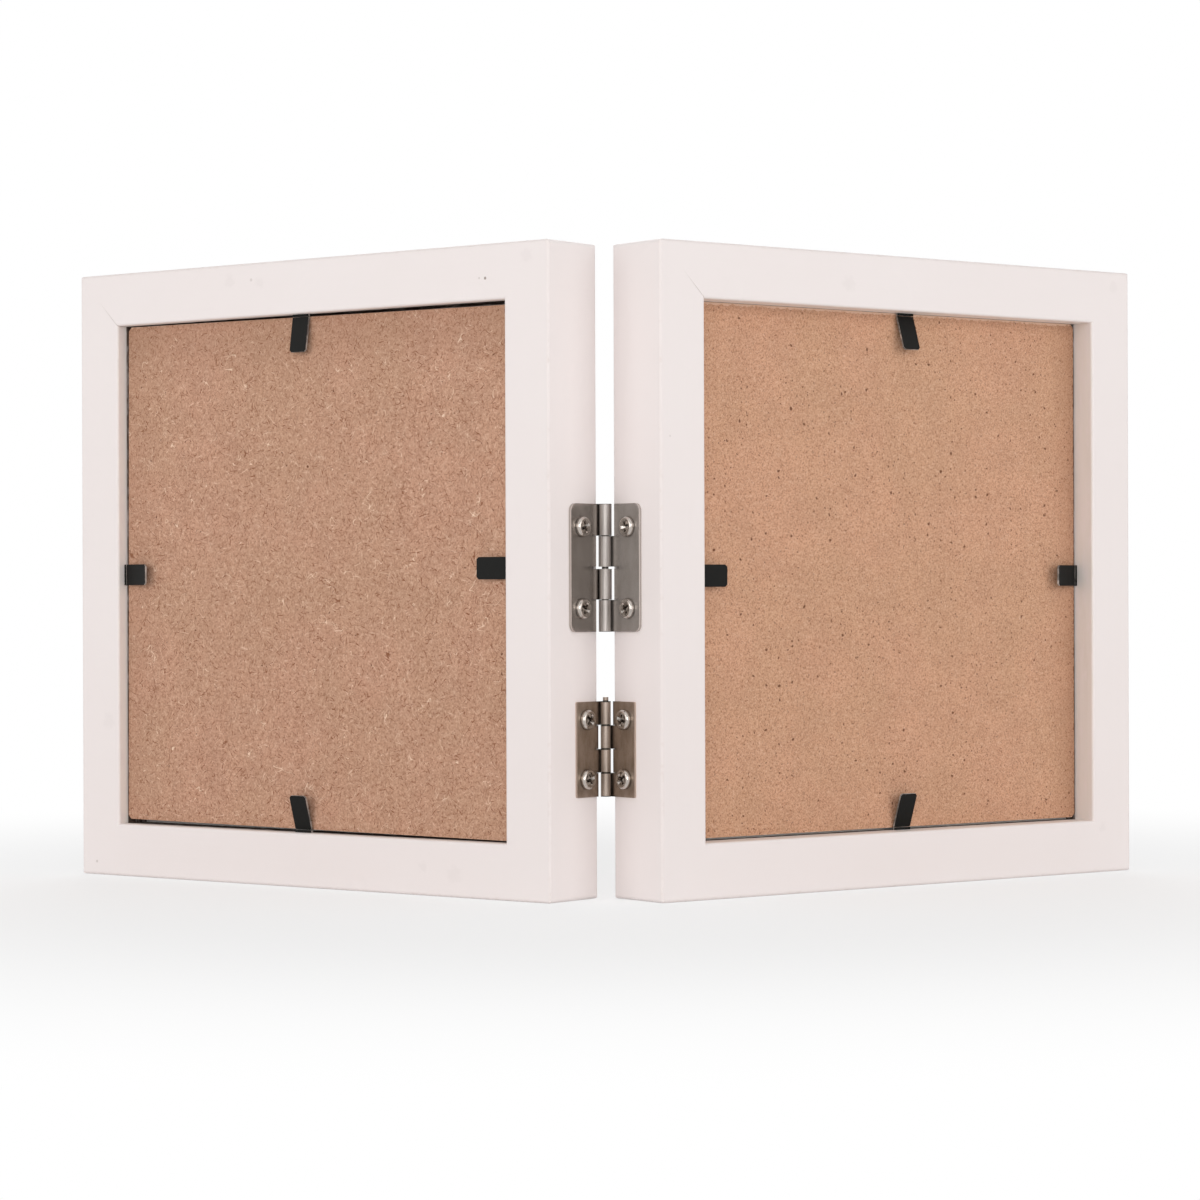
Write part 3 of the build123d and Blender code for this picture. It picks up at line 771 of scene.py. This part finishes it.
def thread_ring(bm, level, length):
    """One ring of a thread's spiral, thinner towards the point."""
    points = []
    for i in range(SHANK_SEGMENTS):
        share = i / SHANK_SEGMENTS
        off_crest = abs((level / THREAD_PITCH + share) % 1.0 - 0.5) * 2
        crest = max(0.0, 1 - THREAD_STEEPNESS * off_crest)
        radius = CORE_RADIUS + (SHANK_RADIUS - CORE_RADIUS) * crest
        radius *= min(1.0, (length + level) / SCREW_POINT)
        angle = 2 * math.pi * share
        points.append(bm.verts.new((radius * math.cos(angle), radius * math.sin(angle), level)))
    return points


def add_shank(bm, length, head_ring):
    """A shank with a thread and a point, under the head."""
    neck = ring(bm, SHANK_RADIUS, 0.0, SHANK_SEGMENTS)
    for i, (a, b) in enumerate(pairs(neck)):
        near, middle, far = (head_ring[(2 * i + k) % HEAD_SEGMENTS] for k in range(3))
        for corners in ((a, near, middle), (a, middle, b), (b, middle, far)):
            bm.faces.new(corners)
    last = ring(bm, SHANK_RADIUS, -PLAIN_SHANK, SHANK_SEGMENTS)
    skin(bm, last, neck)
    rings = int((length - PLAIN_SHANK) * THREAD_STEPS / THREAD_PITCH)
    for number in range(1, rings):
        current = thread_ring(bm, -PLAIN_SHANK - number * THREAD_PITCH / THREAD_STEPS, length)
        skin(bm, current, last)
        last = current
    tip = bm.verts.new((0.0, 0.0, -length))
    for a, b in pairs(last):
        bm.faces.new((b, a, tip))


def screw_matrix(hinge, side, level):
    """Where a screw sits: its head looks out of the edge face."""
    out = swing(side, (-1.0, 0.0, 0.0))
    up = Vector((0.0, 0.0, 1.0))
    seat = swing(side, (AXIS_OUT - hinge.sheet, hinge.screw_edge - hinge.reach, hinge.base + level))
    seat += Vector((0.0, AXIS_Y, 0.0))
    turned = Matrix((up.cross(out), up, out)).transposed().to_4x4()
    return Matrix.Scale(1 / PER_METRE, 4) @ Matrix.Translation(seat) @ turned


def mark_smooth(bm, angle):
    """Smooth shading, with the edges sharper than an angle kept sharp."""
    bmesh.ops.recalc_face_normals(bm, faces=bm.faces)
    for face in bm.faces:
        face.smooth = True
    for edge in bm.edges:
        edge.smooth = edge.calc_face_angle(0.0) < angle


def add_screws(name, side, nickel):
    """Both screws of one leaf as one piece."""
    hinge = HINGES[name]
    bm = bmesh.new()
    for level, turn in zip((hinge.screw_inset, hinge.height - hinge.screw_inset), hinge.turns[side]):
        before = len(bm.verts)
        add_shank(bm, hinge.sheet + SCREW_BITE, add_head(bm, turn))
        bmesh.ops.transform(bm, matrix=screw_matrix(hinge, side, level), verts=list(bm.verts)[before:])
    mark_smooth(bm, SMOOTH_ANGLE)
    node = f"{name}_hinge_{side}_screws"
    mesh = bpy.data.meshes.new(f"{node}_fine")
    bm.to_mesh(mesh)
    bm.free()
    mesh.materials.append(nickel)
    piece = bpy.data.objects.new(f"{node}_fine", mesh)
    bpy.context.scene.collection.objects.link(piece)
    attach(piece, f"{side}_frame")
    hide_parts(node)


def dress_hinges():
    """Materials for leaves and pins, and finer screws."""
    steels = {(name, side): plated_steel(name, side) for name, side in LEAF_FINISH}
    nickel = bright_nickel()
    for (name, side), steel in steels.items():
        dress(f"{name}_hinge_{side}_leaf", steel)
        soften(f"{name}_hinge_{side}_leaf", LEAF_EASE * HINGES[name].sheet)
        dress(f"{name}_hinge_{side}_screws", nickel)
        add_screws(name, side, nickel)
    for name in HINGES:
        dress(f"{name}_hinge_pin", steels[name, "left"])
        soften(f"{name}_hinge_pin", PIN_EASE)


def add_camera():
    """The photograph's camera."""
    data = bpy.data.cameras.new("camera")
    data.sensor_width = SENSOR
    data.lens = FOCAL_PIXELS * SENSOR / IMAGE_SIDE
    data.clip_start, data.clip_end = CAMERA_CLIP
    camera = bpy.data.objects.new("camera", data)
    aim = (Matrix.Rotation(CAMERA_LEFT, 4, "Z")
           @ Matrix.Rotation(math.pi / 2 - CAMERA_DOWN, 4, "X")
           @ Matrix.Rotation(CAMERA_ROLL, 4, "Z"))
    place = Vector((CAMERA_ACROSS, AXIS_Y - CAMERA_AHEAD, CAMERA_HEIGHT)) / PER_METRE
    camera.matrix_world = Matrix.Translation(place) @ aim
    bpy.context.scene.collection.objects.link(camera)
    bpy.context.scene.camera = camera


def add_lamp(name, place, size, power):
    """A square soft lamp that points at the object and isn't seen itself."""
    data = bpy.data.lights.new(name, "AREA")
    data.shape = "SQUARE"
    data.size = size
    data.energy = power
    lamp = bpy.data.objects.new(name, data)
    aim = Vector(LAMP_AIM) - Vector(place)
    lamp.matrix_world = Matrix.Translation(Vector(place)) @ aim.to_track_quat("-Z", "Y").to_matrix().to_4x4()
    lamp.visible_camera = False
    bpy.context.scene.collection.objects.link(lamp)


def seen_directly(sh):
    """1 for rays that show a background: from the camera, in a mirror or through glass."""
    path = sh.node("ShaderNodeLightPath")
    seen = path.outputs["Is Camera Ray"]
    for name in ("Is Glossy Ray", "Is Transmission Ray"):
        seen = sh.math("MAXIMUM", seen, path.outputs[name])
    return seen


def add_world():
    """An even light from all around, and white where it is seen."""
    world = bpy.data.worlds.new("studio")
    sh = Shader(world)
    ambient = sh.node("ShaderNodeBackground", {"Color": WHITE, "Strength": AMBIENT})
    shown = sh.node("ShaderNodeBackground", {"Color": WHITE})
    mix = sh.node("ShaderNodeMixShader", {0: seen_directly(sh), 1: ambient.outputs[0], 2: shown.outputs[0]})
    sh.node("ShaderNodeOutputWorld", {"Surface": mix.outputs[0]})
    bpy.context.scene.world = world


def floor_material():
    """Matt and pale, and further out as white as the background where it is seen."""
    sh = material_shader("floor")
    matt = sh.node("ShaderNodeBsdfDiffuse", {"Color": FLOOR_COLOUR})
    glow = sh.node("ShaderNodeEmission")
    place = sh.node("ShaderNodeNewGeometry").outputs["Position"]
    distance = sh.node("ShaderNodeVectorMath", {0: place}, operation="LENGTH").outputs["Value"]
    share = sh.times(seen_directly(sh), sh.spread(sh.fade(distance, *FLOOR_FADE), *FLOOR_GLOW))
    mix = sh.node("ShaderNodeMixShader", {0: share, 1: matt.outputs[0], 2: glow.outputs[0]})
    sh.node("ShaderNodeOutputMaterial", {"Surface": mix.outputs[0]})
    return sh.owner


def add_floor():
    """A pale floor that melts into the white background and keeps the object's shadow."""
    mesh = bpy.data.meshes.new("floor")
    corners = [(FLOOR_HALF * x, FLOOR_HALF * y, 0.0) for x, y in ((-1, -1), (1, -1), (1, 1), (-1, 1))]
    mesh.from_pydata(corners, [], [(0, 1, 2, 3)])
    mesh.materials.append(floor_material())
    floor = bpy.data.objects.new("floor", mesh)
    bpy.context.scene.collection.objects.link(floor)


def add_studio():
    add_camera()
    add_world()
    add_floor()
    for name, (place, size, power) in LAMPS.items():
        add_lamp(name, place, size, power)
    bpy.context.scene.view_settings.view_transform = "Standard"


dress_frames()
dress_hinges()
add_studio()
